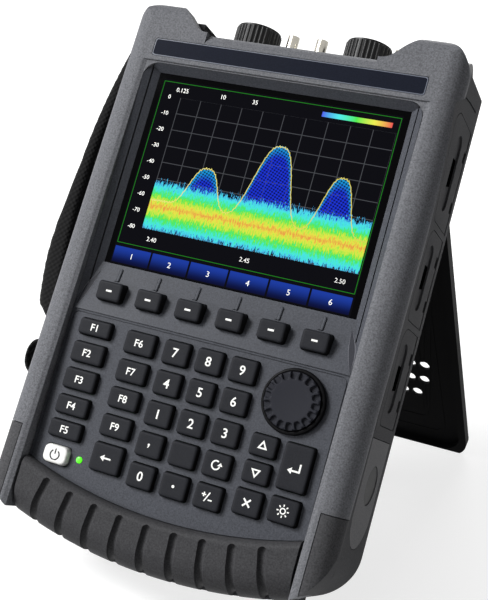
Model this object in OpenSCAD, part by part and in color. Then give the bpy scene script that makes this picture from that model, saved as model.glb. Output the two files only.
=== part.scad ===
// Handheld spectrum analyzer on its kickstand: rugged case, key field, knob, screen, side doors and hand strap.

/* [Case] */
// width over the two front rails (mm)
body_w = 184; // [170:1:210]
// height over the two top horns (mm)
body_h = 292; // [270:1:320]
// depth of the case from the key panel to its back (mm)
body_d = 62; // [54:1:75]
// height of the rails in front of the key panel (mm)
rail_rise = 6; // [4:0.5:9]
// radius of the rail section (mm)
rail_r = 10.5; // [8:0.5:13]
// lean of the rails back from the key panel (deg)
rail_lean = 2; // [0:0.1:3]
// wall of the case shells (mm)
wall = 3; // [2:0.5:4]
// drop of the top between the horns (mm)
horn_drop = 14; // [9:1:20]
// depth of the seam between front and rear case (mm)
seam_y = 13; // [11:0.5:16]
// lean of the case on its stand (deg)
tilt = 30; // [20:1:40]

/* [Front panel] */
// width of a rail beside the panel opening (mm)
rail_w = 15; // [13.5:0.5:18]
// height of the brow above the panel opening (mm)
brow_h = 20; // [16:1:26]
// thickness of the panel plate (mm)
panel_t = 2.5; // [2:0.1:4]
// gap round the panel (mm)
panel_gap = 0.3; // [0.2:0.05:0.6]
// width of the sloped frame beside the screen (mm)
bezel_w = 7.2; // [6:0.1:12]
// height of the sloped frame above the screen (mm)
bezel_h = 3.8; // [3:0.1:8]
// lower edge of the screen opening (mm)
lens_z0 = 148.6; // [144:0.2:154]
// depth of the screen behind the panel face (mm)
lens_y = 5.4; // [4:0.1:7]
// height of the step under the soft keys (mm)
ledge_z = 121.5; // [118:0.5:124]
// rise of that step in front of the panel (mm)
ledge_rise = 0.8; // [0.4:0.1:1.5]

/* [Keys] */
// height of the key tops in front of the panel (mm)
key_rise = 3.2; // [2:0.1:4.5]
// travel of a key (mm)
key_travel = 1.2; // [0.6:0.1:1.6]
// clearance round each key (mm)
key_gap = 0.35; // [0.3:0.05:0.6]
// corner radius of the keys (mm)
key_r = 1.6; // [0.8:0.1:2.4]
// rim that holds a key behind the panel (mm)
key_rim = 1; // [0.6:0.1:1.4]
// pitch of the soft keys (mm)
soft_pitch = 22.6; // [20:0.1:24]
// height of the soft key row (mm)
soft_z = 133.4; // [131:0.1:135]
// column pitch of the number keys (mm)
num_px = 18.3; // [17.5:0.1:19]
// row pitch of the number keys (mm)
num_pz = 15.6; // [14.6:0.1:16]

/* [Knob] */
// knob centre across the panel (mm)
knob_x = 52.6; // [50:0.1:54]
// knob centre up the panel (mm)
knob_z = 103.1; // [102:0.1:104]
// radius of the knob skirt (mm)
knob_skirt_r = 16; // [14:0.1:16.5]
// radius of the knob grip (mm)
knob_r = 13.9; // [11:0.1:14.4]
// height of the knob in front of the panel (mm)
knob_h = 5.2; // [4.4:0.2:9]
// finger scallops round the grip
knob_n = 18; // [12:1:24]
// radius of the knob shaft (mm)
shaft_r = 3; // [2.5:0.1:3.5]

/* [Top connectors] */
// depth of the connector row (mm)
conn_y = 32.5; // [30:0.5:35]
// left port centre (mm)
port_x0 = -33; // [-36:0.5:-30]
// right port centre (mm)
port_x1 = 30.5; // [28:0.5:33]
// radius of the ports (mm)
port_r = 8; // [7:0.1:9]
// radius of the dust caps (mm)
cap_r = 12.6; // [11:0.1:13]
// height of the dust caps (mm)
cap_h = 17; // [15:0.5:20]
// lift of a dust cap off its port (mm)
cap_lift = 20; // [16:1:30]
// thread radius of the small coaxial jacks (mm)
jack_r = 3.175; // [3:0.025:3.5]
// gap between the left dust cap and the axis of the first jack (mm)
jack_gap = 7.9; // [6:0.1:10]
// pitch of the two middle jacks (mm)
jack_pitch = 16.5; // [14:0.5:18]
// gap between the right dust cap and the axis of the third jack (mm)
jack_side = 4.9; // [4.6:0.1:7]

/* [Side doors] */
// front edge of the doors (mm)
door_y0 = 23; // [20:0.5:25]
// distance of the door hinge line from the back of the case (mm)
door_back = 9.5; // [9:0.5:12]
// rounding of the upright back edges (mm)
back_r = 3.5; // [2:0.5:9]
// forward flare of the upper door (mm)
door_flare = 8; // [0:0.5:9]
// web between two doors (mm)
door_web = 4; // [4:0.5:6]
// thickness of the doors (mm)
door_t = 3; // [2.4:0.1:3.6]
// gap round the doors (mm)
door_gap = 0.4; // [0.3:0.05:0.6]
// radius of the door pins (mm)
pin_r = 1; // [0.8:0.05:1.2]
// running clearance of pins and shafts (mm)
run_gap = 0.06; // [0.02:0.01:0.1]
// radius of the battery release button (mm)
latch_r = 9.5; // [7:0.1:11]
// travel of the battery release button (mm)
latch_travel = 1.5; // [0.8:0.1:2]

/* [Kickstand] */
// opening of the stand from the back (deg)
stand_open = 53; // [48:0.5:58]
// distance of the stand hinge below the top of the rear case (mm)
stand_drop = 37; // [30:1:46]
// inset of the stand from the case side at its hinge (mm)
stand_inset = 11; // [8:0.1:14]
// reach of the stand past the case side at its foot (mm)
stand_flare = 8; // [4:0.5:10]
// thickness of the stand over its rim (mm)
stand_t = 6; // [5:0.5:7]
// depth of the flat cut under the foot (mm)
foot_cut = 3.5; // [2.5:0.1:4.5]

/* [Hand strap] */
// width of the padded sleeve (mm)
strap_w = 38; // [30:1:44]
// thickness of the padded sleeve (mm)
strap_t = 9; // [6:0.5:11]
// stand off of the sleeve from the case side (mm)
strap_off = 13; // [11:0.5:18]

/* [Hidden] */
$fn = 72;
half_w = body_w / 2;
side_x = half_w - 2.5;
rail_x = half_w - rail_r;
rail_y = rail_r - rail_rise;
top_z = body_h - horn_drop;
rear_top = top_z - 1;
horn_x = half_w - 44;
panel_hw = half_w - rail_w;
fit_x = panel_hw / 77;
panel_top = top_z - brow_h;
lens_hw = panel_hw - bezel_w;
lens_z1 = panel_top - bezel_h;
rail_f = min(3, rail_w - rail_r - 0.5);
shelf_t = 1.2;
shelf_y = panel_t;
panel_back = lens_y;
bump_r = 280;
bump_c = bump_r + 4;
bump_in = bump_c - 31;
bump_hw = panel_hw - 1.5;
guard_x = rail_x;
guard_z = 57;
seam = 0.4;
arc_steps = [[-8.8, -2.8], [-8, -0.6], [-5.6, 1.4], [-2.8, 3.1], [0, 4.5], [3.5, 5.9], [10.9, 8.1], [22.7, 9.7],
  [33.3, 10.4], [38, 10.5]];
lean_z = 100;
corner_r = 30;
hinge_y = body_d + 0.6 + stand_t / 2;
stand_z = rear_top - stand_drop;
stand_hw0 = side_x - stand_inset;
stand_hw1 = side_x + stand_flare;
floor_d = sin(tilt) * body_d - cos(tilt) * (bump_c - bump_r) - foot_cut;
stand_l = (floor_d - tilt_d(hinge_y, stand_z) * -1) / cos(stand_open - tilt) + 2.5;
land_y = (body_d + (floor_d + cos(tilt) * (bump_c - bump_r)) / sin(tilt)) / 2;
land_z = (sin(tilt) * land_y - floor_d) / cos(tilt);
origin_y = land_y * cos(tilt) + land_z * sin(tilt);
num_x = -12.5 * fit_x;
num_z = 111.2;
col1_x = -59.7 * fit_x;
col2_x = -33 * fit_x;
knob_cx = knob_x * fit_x;
num_p = num_px * fit_x;
soft_w = 14.2 * fit_x;
board_y = panel_t + 0.2 + key_rim + key_travel + 1.6;
soft_board_y = panel_back + 0.2 + key_rim + key_travel + 1.6;
batt_z = [43, 97];
batt_y = [18, body_d - 8];
latch_y = (batt_y[0] + batt_y[1]) / 2 + 2;
latch_z = 74.5;
door_y1 = body_d - door_back;
door_top = rear_top - 14;
door_low = batt_z[1] + 7;
door_run = door_top - door_low - 2 * door_web;
door1 = [door_top - door_run * 55 / 151, door_top];
door2 = [door1[0] - door_web - door_run * 47 / 151, door1[0] - door_web];
door3 = [door_low, door_low + door_run * 49 / 151];
pin_l = 0.4 * door_web;
jack_x = [port_x0 + cap_r + jack_gap, port_x0 + cap_r + jack_gap + jack_pitch, port_x1 + cap_r + jack_side];
strap_y = 36;
strap_z0 = 98;
strap_z1 = rear_top - 7;
strap_mid = (strap_z0 + strap_z1) / 2;
strap_half = (strap_z1 - strap_z0) / 2;
anchor_z = strap_z0 - 20;
led_x = -48.4 * fit_x;
hole_x = side_x - 21.3;
lug_x = stand_hw0 + 5.7;
hole_r = 3.5;
led_z = 47.5;
led_r = 1.65;
case_grey = [0.30, 0.30, 0.31];
panel_grey = [0.24, 0.25, 0.28];
dark = [0.08, 0.08, 0.09];

function tilt_d(y, z) = -sin(tilt) * y + cos(tilt) * z;
function mid(v) = (v[0] + v[1]) / 2;

// Shared shapes

module posed() {
  translate([0, -origin_y, floor_d])
    rotate([-tilt, 0, 0])
      children();
}

module below_floor() {
  rotate([tilt, 0, 0])
    translate([-200, origin_y - 300, -floor_d - 60])
      cube([400, 600, 60]);
}

module along_y(y0, y1) {
  translate([0, y1, 0])
    rotate([90, 0, 0])
      linear_extrude(y1 - y0)
        children();
}

module along_x(x0, x1) {
  translate([x0, 0, 0])
    rotate([90, 0, 90])
      linear_extrude(x1 - x0)
        children();
}

module rrect(w, h, r) {
  square([w - 2 * r, h], center = true);
  square([w, h - 2 * r], center = true);
  for (sx = [-1, 1], sy = [-1, 1])
    translate([sx * (w / 2 - r), sy * (h / 2 - r)])
      circle(r);
}

module box(x0, x1, y0, y1, z0, z1) {
  translate([x0, y0, z0])
    cube([x1 - x0, y1 - y0, z1 - z0]);
}

module both_sides() {
  children();
  mirror([1, 0, 0])
    children();
}

// Outline of the front case seen from the front, with two horns and a bowed foot
function arc(c, r, a0, a1, n) =
  [for (i = [0:n]) [c[0] + r * cos(a0 + (a1 - a0) * i / n), c[1] + r * sin(a0 + (a1 - a0) * i / n)]];
function flip(p) = [for (i = [len(p) - 1:-1:0]) [-p[i][0], p[i][1]]];
function low_z(hw) = bump_c - sqrt(pow(bump_r - corner_r, 2) - pow(hw - corner_r, 2));
function low_a(hw) = -acos((hw - corner_r) / (bump_r - corner_r));

function horn_side(hw, top, mid) = let (
  r1 = 9,
  r2 = 7,
  x2 = horn_x + r1 * sin(45) + top - mid - (r1 + r2) * (1 - cos(45)))
  concat(arc([horn_x, mid + r1], r1, -90, -45, 6), arc([x2 + r2 * sin(45), top - r2], r2, 135, 90, 6),
    arc([hw - 16, top - 16], 16, 90, 0, 12), arc([hw - corner_r, low_z(hw)], corner_r, 0, low_a(hw), 12));

module lean_back() {
  translate([0, -rail_rise, lean_z])
    rotate([-rail_lean, 0, 0])
      translate([0, rail_rise, -lean_z])
        children();
}

module outline(hw, top, mid) {
  side = horn_side(hw, top, mid);
  n = 24;
  a = low_a(hw);
  foot = [for (i = [1:n - 1]) let (t = a + (-180 - 2 * a) * i / n) [bump_r * cos(t), bump_c + bump_r * sin(t)]];
  polygon(concat(side, foot, flip(side)));
}

module rail_section() {
  both_sides() {
    translate([rail_x, rail_y])
      circle(rail_r);
    translate([panel_hw + rail_f, -rail_rise])
      square([rail_x - panel_hw - rail_f, rail_r]);
    translate([panel_hw + rail_f, -rail_rise + rail_f])
      circle(rail_f);
    translate([panel_hw, -rail_rise + rail_f])
      square([rail_x - panel_hw, seam_y + 14 + rail_rise - rail_f]);
    translate([panel_hw, rail_y])
      square([side_x - panel_hw, seam_y + 14 - rail_y]);
    translate([0, -rail_rise + 1])
      square([panel_hw + 4, seam_y + 14 + rail_rise - 1]);
  }
}

module edge_profile(top) {
  r = 9;
  translate([-rail_rise + r, -10])
    square([rail_rise + seam_y + 14 - r, top + 10]);
  translate([-rail_rise, -10])
    square([rail_rise + seam_y + 14, top - r + 10]);
  translate([-rail_rise + r, top - r])
    circle(r);
}

module front_skin() {
  intersection() {
    lean_back()
      union() {
        translate([0, 0, -15])
          linear_extrude(body_h + 30)
            rail_section();
        box(-panel_hw - 4, panel_hw + 4, -rail_rise, seam_y + 10, panel_top + 1, body_h + 10);
      }
    along_y(-20, seam_y)
      outline(half_w, body_h, top_z);
    lean_back()
      union() {
        along_x(-horn_x - 7, horn_x + 7)
          edge_profile(top_z + 1);
        both_sides()
          along_x(horn_x - 1, half_w + 6)
            edge_profile(body_h + 1);
      }
  }
}

module guard_zone(g) {
  both_sides()
    box(guard_x - g, 120, -20, seam_y, -5, guard_z + g);
}

module panel_outline(g) {
  difference() {
    union() {
      translate([0, panel_top - 50])
        rrect(2 * (panel_hw - g), 100 - 2 * g, 8);
      translate([-panel_hw + g, 0])
        square([2 * (panel_hw - g), panel_top - 60]);
    }
    difference() {
      translate([-100, -10])
        square([200, 62]);
      translate([0, bump_c])
        circle(bump_in - g, $fn = 360);
    }
  }
}

// Front edge of the side plate, which swings forward to the top and ends under an arc
function top_line(g) = [for (p = arc_steps) [seam_y + p[0] - (p[0] < -6 ? g : 0), door1[1] + p[1] + g]];

module side_wedge(g) {
  polygon(concat([[seam_y + 2, door2[0] - 2], [seam_y - 0.1, door2[0] - 2]],
    [for (p = top_line(g)) if (p[0] < seam_y + 0.1) p], [[seam_y + 2, door1[1] + 4.5 + g]]));
}

// Front case: rails, horns and name strip pocket
module front_case() {
  color(case_grey)
    posed()
      difference() {
        front_skin();
        along_y(-20, shelf_y)
          translate([0, panel_top / 2 - 10])
            rrect(2 * panel_hw, panel_top + 20, 8);
        along_y(-20, seam_y - 4)
          translate([-panel_hw, -10])
            square([2 * panel_hw, 60]);
        along_y(shelf_y - 1, seam_y + 1)
          translate([0, (panel_top - shelf_t + 48) / 2])
            square([2 * (panel_hw - 3), panel_top - shelf_t - 48], center = true);
        both_sides()
          box(panel_hw + 2, side_x - wall - seam, 4.5, seam_y + 1, guard_z + 5, top_z - 16);
        guard_zone(seam);
        lean_back()
          along_y(-rail_rise - 1, -rail_rise + 1.4)
            translate([0, panel_top + 8.3])
              rrect(2 * panel_hw - 3.4, 10, 1.4);
        both_sides()
          along_x(side_x - wall - seam, half_w + 5)
            side_wedge(seam);
      }
}

// Rear case: shell, corner guards, hinge lugs, door frames and foot land
module rear_outline(g) {
  hw = side_x - g;
  low = low_z(side_x);
  difference() {
    union() {
      translate([-60, 50])
        square([120, rear_top - 50 - g]);
      both_sides() {
        translate([side_x - corner_r, low])
          circle(corner_r - g);
        translate([0, low])
          square([hw, rear_top - 2 - low - g]);
        translate([horn_x + 8, 60])
          square([hw - horn_x - 8, rear_top - 55 - g]);
        translate([side_x - 5, rear_top + 5])
          circle(5 - g);
        translate([horn_x + 8, 60])
          square([side_x - 13 - horn_x, rear_top - 50 - g]);
      }
      intersection() {
        translate([-side_x + corner_r, 0])
          square([2 * (side_x - corner_r), 60]);
        translate([0, bump_c])
          circle(bump_r - g, $fn = 360);
      }
    }
    if (g > 0)
      translate([0, rear_top + 25 - g])
        square([300, 50], center = true);
  }
}

module rear_section(g) {
  hw = side_x - g;
  translate([0, seam_y + (body_d - g - back_r - seam_y) / 2])
    square([2 * hw, body_d - g - back_r - seam_y], center = true);
  translate([0, body_d - g - 5])
    square([2 * (hw - back_r), 10], center = true);
  both_sides()
    translate([hw - back_r, body_d - g - back_r])
      circle(back_r);
}

module door_shape(z, g) {
  f = z == door1 ? door_flare : 0;
  r = 3 + g;
  a = atan(f / (z[1] - z[0] - 12));
  polygon(concat(arc([door_y1 - 3, z[1] - 3], r, 0, 90, 6),
    arc([door_y0 - f + 9, z[1] - 9], 9 + g, 90, 180 + a, 8),
    arc([door_y0 + 3, z[0] + 3], r, 180 + a, 270, 6), arc([door_y1 - 3, z[0] + 3], r, 270, 360, 6)));
}

module door_cut(z) {
  along_x(side_x - wall - 1, side_x + 5)
    door_shape(z, door_gap);
  translate([side_x - door_t / 2, door_y1, z[0] - door_gap])
    cylinder(r = door_t / 2 + door_gap, h = z[1] - z[0] + 2 * door_gap);
  translate([side_x - door_t / 2, door_y1, z[0] - pin_l - 0.2])
    cylinder(r = pin_r + run_gap, h = z[1] - z[0] + 2 * pin_l + 0.4);
  box(side_x - door_t / 2, side_x + 5, door_y1, door_y1 + door_t / 2 + 0.6, z[0] - door_gap, z[1] + door_gap);
}

module batt_shape(g) {
  r = (batt_y[1] - batt_y[0]) / 2 + g;
  translate([(batt_y[0] + batt_y[1]) / 2, batt_z[0] + r - g])
    circle(r);
  translate([batt_y[0] - g, batt_z[0] + r - g])
    square([2 * r, batt_z[1] - batt_z[0] - r + 2 * g]);
}

module screw_spots() {
  for (x = [-1, 1] * (side_x - 13.5), z = [40, 112, 184, rear_top - 21])
    translate([x, 0, z])
      children();
}

module rear_case() {
  color(case_grey)
    posed()
      difference() {
        union() {
          difference() {
            intersection() {
              linear_extrude(body_h)
                rear_section(0);
              along_y(0, body_d + 5)
                rear_outline(0);
            }
            intersection() {
              translate([0, -0.01, 0])
                linear_extrude(body_h)
                  rear_section(wall);
              along_y(seam_y - 1, body_d + 5)
                rear_outline(wall);
            }
          }
          intersection() {
            front_skin();
            guard_zone(0);
          }
          both_sides()
            along_x(side_x - wall, side_x)
              side_wedge(0);
          both_sides()
            box(guard_x, side_x - 1, seam_y - 1, seam_y + 3, 30, guard_z);
          both_sides()
            along_x(46, 66)
              translate([body_d - 7, 13])
                rrect(14, 14, 4);
          both_sides() {
            along_x(stand_hw0 + 0.7, lug_x)
              union() {
                translate([hinge_y, stand_z])
                  circle(5.5);
                translate([body_d - 12, stand_z - 5.5])
                  square([hinge_y - body_d + 12, 11]);
              }
          }
          screw_spots()
            translate([0, 46, 0])
              rotate([-90, 0, 0])
                cylinder(r = 4, h = body_d - 46 - wall / 2);
          box(side_x - wall - 6, side_x - wall - 3.5, seam_y + 2, body_d - wall / 2, door3[0] - 4.5, door1[1] + 4);
          for (z = [door3[0] - 3, door3[1] + door_web / 2, door2[1] + door_web / 2, door1[1] + 2])
            box(side_x - wall - 4, side_x - wall / 2, door_y0 - 3, body_d - wall / 2, z - 1.5, z + 1.5);
          for (x = [-66, 66], z = [130, rear_top - 47])
            translate([x, 0, z])
              translate([0, 32.2, 0])
                rotate([-90, 0, 0])
                  cylinder(r = 3.2, h = body_d - 32.2 - wall / 2);
        }
        door_cut(door1);
        door_cut(door2);
        door_cut(door3);
        along_x(side_x - wall - 1, side_x + 5)
          batt_shape(door_gap);
        for (x = [port_x0, port_x1])
          translate([x, conn_y, rear_top - wall - 5])
            cylinder(r = port_r + 1.2, h = 20);
        for (x = jack_x)
          translate([x, conn_y, rear_top - wall - 5])
            cylinder(r = jack_r + 1.2, h = 20);
        both_sides()
          translate([stand_hw0 - 1, hinge_y, stand_z])
            rotate([0, 90, 0])
              cylinder(r = 2.5 + run_gap, h = lug_x + 0.3 - stand_hw0);
        screw_spots() {
          translate([0, 48, 0])
            rotate([-90, 0, 0])
              cylinder(r = 1.6, h = 30);
          translate([0, body_d - 2.2, 0])
            rotate([-90, 0, 0])
              cylinder(r = 3.2, h = 30);
        }
        both_sides()
          along_x(side_x - 0.8, side_x + 5)
            polygon(concat([for (q = top_line(0)) if (q[0] > seam_y - 0.1) q],
              [for (i = [len(arc_steps) - 1:-1:4]) top_line(1)[i]]));
        along_x(side_x - 0.6, side_x + 5)
          translate([seam_y + 3.2, door3[0] - 4])
            square([0.7, door2[1] - door3[0] + 6]);
        below_floor();
      }
}

// Front panel: key plate, sloped screen frame and soft key ledge
module panel_slopes() {
  k = (panel_hw - lens_hw) / lens_y;
  kt = (panel_top - lens_z1) / lens_y;
  kl = (lens_z0 - ledge_z) / (lens_y - 0.4 + ledge_rise);
  intersection() {
    translate([0, 0, ledge_z])
      linear_extrude(200)
        polygon([[-lens_hw - k * (lens_y + 12), -12], [lens_hw + k * (lens_y + 12), -12],
          [lens_hw, lens_y], [lens_hw, 30], [-lens_hw, 30], [-lens_hw, lens_y]]);
    along_x(-120, 120)
      polygon([[lens_y, lens_z1], [30, lens_z1], [30, lens_z0], [lens_y - 0.4, lens_z0],
        [-ledge_rise, ledge_z], [-12, ledge_z - kl * (12 - ledge_rise)], [-12, lens_z1 + kt * (lens_y + 12)]]);
  }
}

module on_slope(x, z) {
  a = atan((lens_y - 0.4 + ledge_rise) / (lens_z0 - ledge_z));
  translate([x, -ledge_rise + (z - ledge_z) * tan(a), z])
    rotate([-a, 0, 0])
      children();
}

module front_panel() {
  color(panel_grey)
    posed() {
      for (i = [1:6])
        on_slope(soft_x(i) - 1.4 * fit_x, 139.6)
          translate([-0.6, -0.55, 0])
            cube([1.2, 1.6, 6.6]);
      difference() {
        union() {
          along_y(0, panel_t)
            panel_outline(panel_gap);
          along_y(-ledge_rise, panel_t)
            translate([0, (ledge_z + lens_z0) / 2])
              square([2 * panel_hw - 2 * panel_gap - 2, lens_z0 - ledge_z], center = true);
          along_y(0, panel_back)
            translate([0, (ledge_z + panel_top - shelf_t - 0.4) / 2])
              square([2 * (panel_hw - 4), panel_top - shelf_t - 0.4 - ledge_z], center = true);
        }
        panel_slopes();
        key_holes();
        along_y(-1, 0.55)
          difference() {
            translate([0, ledge_z - 61.2])
              rrect(2 * panel_hw - 3, 120, 3.2);
            translate([0, ledge_z - 61.2])
              rrect(2 * panel_hw - 4, 119, 2.7);
          }
        translate([knob_cx, -5, knob_z])
          rotate([-90, 0, 0])
            cylinder(r = shaft_r + 2.4, h = 20);
        translate([led_x, -5, led_z])
          rotate([-90, 0, 0])
            cylinder(r = led_r + 0.1, h = 20);
      }
    }
}

// Bottom bumper: bowed rubber bar with wrapped grooves
module bump_profile() {
  r = 14;
  f = -7;
  b = seam_y - 4;
  translate([bump_r - r, f + r])
    circle(r);
  translate([bump_in + 4, f + 4])
    circle(4);
  translate([bump_in + 4, f])
    square([bump_r - r - bump_in - 4, r]);
  translate([bump_in, f + 4])
    square([bump_r - r - bump_in, b - f - 4]);
  translate([bump_r - r, f + r])
    square([r, b - f - r]);
}

module groove() {
  r = 14;
  g = 2.3;
  translate([bump_r - r - 8, -7, 0])
    sphere(g);
  translate([bump_r - r - 8, -7, 0])
    rotate([0, 90, 0])
      cylinder(r = g, h = 8);
  translate([bump_r - r, -7 + r, 0])
    rotate([0, 0, -90])
      rotate_extrude(angle = 90)
        translate([r, 0])
          circle(g);
  translate([bump_r, -7 + r, 0])
    rotate([-90, 0, 0])
      cylinder(r = g, h = 10);
}

module bottom_bumper() {
  color([0.22, 0.22, 0.23])
    posed()
      difference() {
        intersection() {
          translate([0, 0, bump_c])
            rotate([-90, 0, 0])
              rotate_extrude($fn = 360)
                bump_profile();
          box(-bump_hw, bump_hw, -20, seam_y - 4, -5, 70);
        }
        for (i = [-4:4])
          translate([0, 0, bump_c])
            rotate([0, 90 + i * 3.3, 0])
              groove();
      }
}

// Screen
module display_lens() {
  color([0.02, 0.02, 0.02])
    posed()
      along_y(lens_y, lens_y + 1.8)
        translate([0, (lens_z0 + lens_z1) / 2])
          rrect(2 * lens_hw + 4, lens_z1 - lens_z0 + 4, 2);
}

module display_module() {
  color([0.35, 0.36, 0.38])
    posed()
      box(-lens_hw - 2, lens_hw + 2, lens_y + 1.8, lens_y + 7.6, lens_z0 - 2, lens_z1 + 1.5);
}

// Boards and cells inside the case
module main_board() {
  color([0.10, 0.32, 0.18])
    posed() {
      box(-side_x + 11.5, side_x - wall - 14.5, 30, 32.2, door_low, rear_top - 21);
      color([0.7, 0.7, 0.72])
        box(-side_x + 27.5, side_x - 27.5, 32.2, body_d - 14, door2[0] - 7, rear_top - 55);
      color([0.7, 0.7, 0.72])
        box(-side_x + 29.5, side_x - 69.5, 20, 30, lens_z0 + 11, rear_top - 27);
      for (z = [mid(door1) - 13.5, mid(door1) + 4.5, mid(door2), mid(door3)])
        box(side_x - wall - 16, side_x - wall - 6, 30, 42, z - 6, z + 6);
    }
}

module keypad_board() {
  color([0.10, 0.32, 0.18])
    posed() {
      difference() {
        union() {
          box(-panel_hw + 3.2, panel_hw - 3.2, board_y, board_y + 1.6, 48, 119);
          box(-panel_hw + 8, panel_hw - 31, board_y, board_y + 1.6, 42, 48.5);
          translate([knob_cx, 0.4, knob_z])
            rotate([-90, 0, 0])
              cylinder(r = shaft_r + 2, h = board_y + 3);
          for (x = [-1, 1] * (panel_hw - 4.4), z = [52, 116])
            translate([x, panel_t, z])
              rotate([-90, 0, 0])
                cylinder(r = 1.2, h = board_y - panel_t + 0.5);
        }
        translate([knob_cx, -2, knob_z])
          rotate([-90, 0, 0])
            cylinder(r = shaft_r + run_gap, h = 10.5);
      }
      box(-panel_hw + 5, panel_hw - 5, soft_board_y, soft_board_y + 1.6, 124, 141);
      for (x = [-panel_hw + 7, panel_hw - 8])
        translate([x, panel_back, 133])
          rotate([-90, 0, 0])
            cylinder(r = 1.8, h = soft_board_y - panel_back + 0.5);
    }
}

module power_led() {
  color([0.3, 1, 0.1])
    posed()
      translate([led_x, -0.7, led_z])
        rotate([-90, 0, 0])
          cylinder(r = led_r, h = board_y + 0.7);
}

module battery_pack() {
  color([0.16, 0.16, 0.17])
    posed() {
      box(-side_x + 27.5, side_x - wall - 8.5, batt_y[0] + 6, body_d - wall - 0.05, batt_z[0] + 5, batt_z[1] - 3);
      box(0, side_x - wall - 0.6, batt_y[0] + 6, batt_y[1] - 1, batt_z[0] + 5, batt_z[1] - 3);
    }
}

// Coaxial ports and small jacks on the top
module port(x) {
  translate([x, conn_y, rear_top - 14])
    cylinder(r = port_r + 1, h = 14);
  translate([x, conn_y, rear_top - 3])
    cylinder(r = port_r, h = 13);
}

module jack(x) {
  translate([x, conn_y, rear_top - 14])
    cylinder(r = jack_r + 1, h = 14);
  translate([x, conn_y, rear_top])
    rotate([0, 0, 30])
      cylinder(r = 4.2, h = 2.4, $fn = 6);
  difference() {
    translate([x, conn_y, rear_top])
      cylinder(r = jack_r, h = 17);
    translate([x, conn_y, rear_top + 11])
      cylinder(r = 2.3, h = 10);
  }
  translate([x, conn_y, rear_top + 10])
    cylinder(r = 0.6, h = 5);
}

module top_connectors() {
  color([0.75, 0.68, 0.55])
    posed() {
      port(port_x0);
      port(port_x1);
      for (x = jack_x)
        jack(x);
      box(port_x0 - 17, port_x1 + 29.5, conn_y - 6, conn_y + 6, rear_top - 20, rear_top - 14);
    }
}

module dust_cap(x) {
  color(dark)
    posed()
      difference() {
        union() {
          translate([x, conn_y, rear_top + 0.5])
            cylinder(r = cap_r - 0.6, h = cap_h);
          for (i = [0:29])
            translate([x, conn_y, rear_top + 1.5])
              rotate([0, 0, i * 12])
                translate([cap_r - 0.9, 0, 0])
                  cylinder(r = 0.9, h = cap_h - 2, $fn = 16);
        }
        translate([x, conn_y, rear_top - 1])
          cylinder(r = port_r + 0.3, h = 12.5);
      }
}

module dust_cap_left() {
  dust_cap(port_x0);
}

module dust_cap_right() {
  dust_cap(port_x1);
}

// Padded hand strap on the left side
function crown(c, e) = sign(c) * pow(abs(c), e);

module strap_arch(t, w) {
  ch = strap_half;
  sag = strap_off - 1.5;
  r = (ch * ch + sag * sag) / (2 * sag);
  xc = -side_x - 5 - sag + r;
  translate([xc, strap_y, strap_mid])
    rotate([-90, 0, 0])
      rotate([0, 0, 180 - asin(ch / r)])
        rotate_extrude(angle = 2 * asin(ch / r), $fn = 180)
          translate([r, 0])
            polygon([for (a = [5:10:355]) [t / 2 * crown(cos(a), 0.7), w / 2 * crown(sin(a), 0.5)]]);
}

module hand_strap() {
  color([0.05, 0.05, 0.06])
    posed() {
      strap_arch(strap_t, strap_w);
      along_y(strap_y - 13, strap_y + 13)
        translate([-side_x, strap_z0])
          polygon([[-8, 4], [-1.2, -3], [-13, -10], [-13, -18], [-3.2, -23], [-3.2, -21], [-11, -17], [-11, -11],
            [-0.2, -2.5], [-0.2, 1], [-5, 6]]);
    }
}

module top_lug() {
  along_x(side_x - 16, side_x - 3)
    intersection() {
      translate([31, rear_top + 6])
        circle(9);
      translate([0, rear_top + 10])
        square([100, 60]);
    }
}

module strap_anchors() {
  color(dark)
    posed() {
      top_lug();
      mirror([1, 0, 0])
        top_lug();
      box(-side_x - 4, -side_x, strap_y - 17, strap_y + 17, strap_z1 + 0.2, strap_z1 + 5);
      box(-side_x - 3.2, -side_x, strap_y - 16, strap_y + 16, anchor_z - 10, anchor_z);
    }
}

module case_screws() {
  color([0.5, 0.5, 0.52])
    posed()
      screw_spots() {
        translate([0, 49, 0])
          rotate([-90, 0, 0])
            cylinder(r = 1.5, h = body_d - 51.2);
        difference() {
          translate([0, body_d - 2.2, 0])
            rotate([-90, 0, 0])
              cylinder(r = 3, h = 2);
          translate([0, body_d - 1.2, 0])
            rotate([-90, 0, 0])
              cylinder(r = 1.4, h = 2, $fn = 6);
        }
      }
}

// Control knob
module knob() {
  color(dark)
    posed()
      translate([knob_cx, 0, knob_z])
        rotate([90, 0, 0])
          difference() {
            union() {
              translate([0, 0, 0.4])
                cylinder(r = knob_skirt_r, h = 2);
              translate([0, 0, 0.4])
                cylinder(r = knob_r, h = knob_h - 0.4);
              translate([0, 0, -8])
                cylinder(r = shaft_r, h = 9);
            }
            for (i = [0:knob_n - 1])
              rotate([0, 0, i * 360 / knob_n])
                translate([knob_r - 0.4, 0, knob_h - 1.9])
                  cylinder(r = 1.7, h = knob_h, $fn = 32);
            translate([0, 0, knob_h + 36.6])
              sphere(r = 37.6, $fn = 120);
            translate([0, 0, -0.01])
              difference() {
                cylinder(r = shaft_r + 2.4, h = 0.9);
                translate([0, 0, -1])
                  cylinder(r = shaft_r, h = 3);
              }
          }
}

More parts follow.
